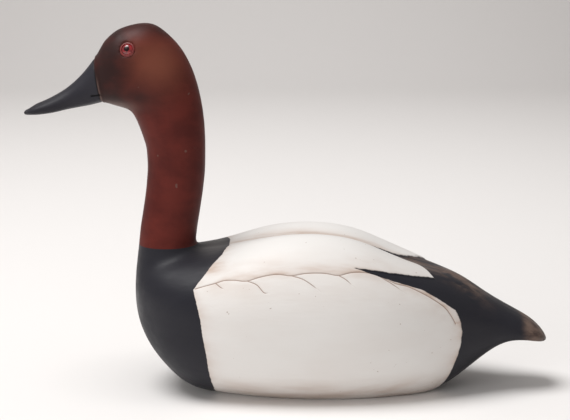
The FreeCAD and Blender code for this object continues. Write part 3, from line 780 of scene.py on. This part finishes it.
# Radius and height in mm of the rim of putty, the height taken from the top of its bed.
LID_PROFILE = [(4.75, -5.5), (4.75, -0.5), (4.8, -0.1), (5.0, 0.1), (5.4, 0.0), (5.9, -0.35), (6.4, -0.8),
               (6.6, -1.5), (5.8, -2.4), (5.8, -5.5)]


def lid_ring(side_name):
    """The soft rim of putty round an eye, turned about the eye's own axis."""
    bed = points_of(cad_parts[f"{side_name}_eye_putty"].data)
    inner = bed.mean(0)
    side = math.copysign(1, inner[1])
    level = math.cos(EYE_TILT)
    outward = Vector((-math.sin(EYE_TURN) * level, side * math.cos(EYE_TURN) * level, math.sin(EYE_TILT)))
    reach = (bed @ np.array(outward)).max()
    axis_point = Vector(inner) + outward * (reach - Vector(inner).dot(outward))
    turns = 64
    ring = bmesh.new()
    loops = []
    for radius, height in LID_PROFILE:
        loops.append([ring.verts.new((radius * MM * math.cos(2 * math.pi * k / turns),
                                      radius * MM * math.sin(2 * math.pi * k / turns), height * MM))
                      for k in range(turns)])
    for near, far in zip(loops, loops[1:] + loops[:1]):
        for k in range(turns):
            following = (k + 1) % turns
            ring.faces.new((near[k], near[following], far[following], far[k]))
    bmesh.ops.recalc_face_normals(ring, faces=ring.faces)
    mesh = bpy.data.meshes.new("lid")
    ring.to_mesh(mesh)
    ring.free()
    mesh.transform(Matrix.Translation(axis_point) @ outward.to_track_quat("Z", "Y").to_matrix().to_4x4())
    return modified(mesh, "SUBSURF", levels=1, render_levels=1)


SLOT_OF = {"body_upper_shell": "painted_body", "body_lower_shell": "painted_body",
           "head_and_neck": "painted_head", "bill": "painted_bill"}
for node, mesh in carved_blocks().items():
    show(f"{node}_carved", mesh, SLOT_OF[node], "decoy", node)
for side_name in ("left", "right"):
    show(f"{side_name}_eye_lid", lid_ring(side_name), "putty", "decoy", f"{side_name}_eye_putty")

CARRIED_OVER = {
    "left_eye_glass": "eye_glass", "right_eye_glass": "eye_glass", "left_eye_pupil": "pupil_glass",
    "right_eye_pupil": "pupil_glass", "neck_pegs": "dowel_wood", "bill_dowel": "dowel_wood",
    "seam_dowels": "dowel_wood", "neck_screw": "screw_steel", "neck_washer": "screw_steel",
    "ballast_pad": "ballast_lead", "ballast_screws": "brass", "tie_staple": "brass", "tie_ring": "brass",
}
for node, slot in CARRIED_OVER.items():
    for material_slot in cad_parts[node].material_slots:
        material_slot.material = MATERIALS[slot]


# ---------------------------------------------------------------------------------------------
# Floor, light and camera

def backdrop():
    """A pale floor that curves up into a wall far behind the decoy, lighter near a spot just behind the
    decoy and darker away from it, a painted falloff of light.
    """
    width, front, back, bend, height = 6.0, -4.0, 2.2, 1.2, 4.0
    level = -0.4 * MM       # just clear of the flat base
    steps = 24
    profile = [(front, level), (back, level)]
    profile += [(back + bend * math.sin(a), level + bend - bend * math.cos(a))
                for a in (math.radians(90) * k / steps for k in range(1, steps + 1))]
    profile.append((back + bend, height))
    sweep = bmesh.new()
    lines = [[sweep.verts.new((side * width, y, z)) for side in (-1, 1)] for y, z in profile]
    for (a, b), (c, d) in zip(lines, lines[1:]):
        sweep.faces.new((a, b, d, c))
    mesh = bpy.data.meshes.new("backdrop")
    sweep.to_mesh(mesh)
    sweep.free()
    for face in mesh.polygons:
        face.use_smooth = True
    paper = Paint("backdrop")
    place = paper.node("ShaderNodeTexCoord", "Object")
    place = paper.node("ShaderNodeMapping", inputs={0: place, "Scale": (2.2, 1, 1)})
    # Painted falloff of light: the paper darkens away from a spot just behind the decoy.
    away = paper.node("ShaderNodeVectorMath", "Value", {0: place, 1: (0, 0.5, 0)}, operation="DISTANCE")
    painted_falloff = paper.mix(paper.between(away, 0.4, 4.2), rgb(232, 229, 227), rgb(190, 186, 184))
    paper.set(Base_Color=painted_falloff, Roughness=0.8, Specular_IOR_Level=0.2)
    mesh.materials.append(paper.material)
    item = mesh_object("backdrop", mesh)


def area_light(name, place, target, size, watts):
    """A round soft light; only the key light shows as a highlight."""
    data = bpy.data.lights.new(name, "AREA")
    data.shape = "DISK"
    data.size = size
    data.energy = watts
    lamp = bpy.data.objects.new(name, data)
    lamp.location = place
    lamp.rotation_euler = (Vector(target) - Vector(place)).to_track_quat("-Z", "Y").to_euler()
    lamp.visible_glossy = name == "key"
    SCENE.collection.objects.link(lamp)


CAMERA_PLACE = (-0.0031, -1.376, 0.420)
CAMERA_PITCH = math.radians(90 - 10.9)      # 10.9 degrees below level


def camera():
    data = bpy.data.cameras.new("camera")
    data.sensor_width = 36
    data.lens = 102.57
    item = bpy.data.objects.new("camera", data)
    item.location = CAMERA_PLACE
    item.rotation_euler = (CAMERA_PITCH, 0, 0)
    SCENE.collection.objects.link(item)
    SCENE.camera = item


backdrop()
area_light("key", (-1.3, -0.3, 3.6), (0, 0, 0.1), 2.4, 140)
area_light("fill", (-2.4, -3.0, 1.0), (0, 0, 0.15), 2.0, 50)
world = bpy.data.worlds.new("studio")
world.use_nodes = True
world.node_tree.nodes["Background"].inputs["Color"].default_value = rgb(238, 236, 234)
world.node_tree.nodes["Background"].inputs["Strength"].default_value = 0.42
SCENE.world = world
SCENE.view_settings.view_transform = "Standard"
camera()
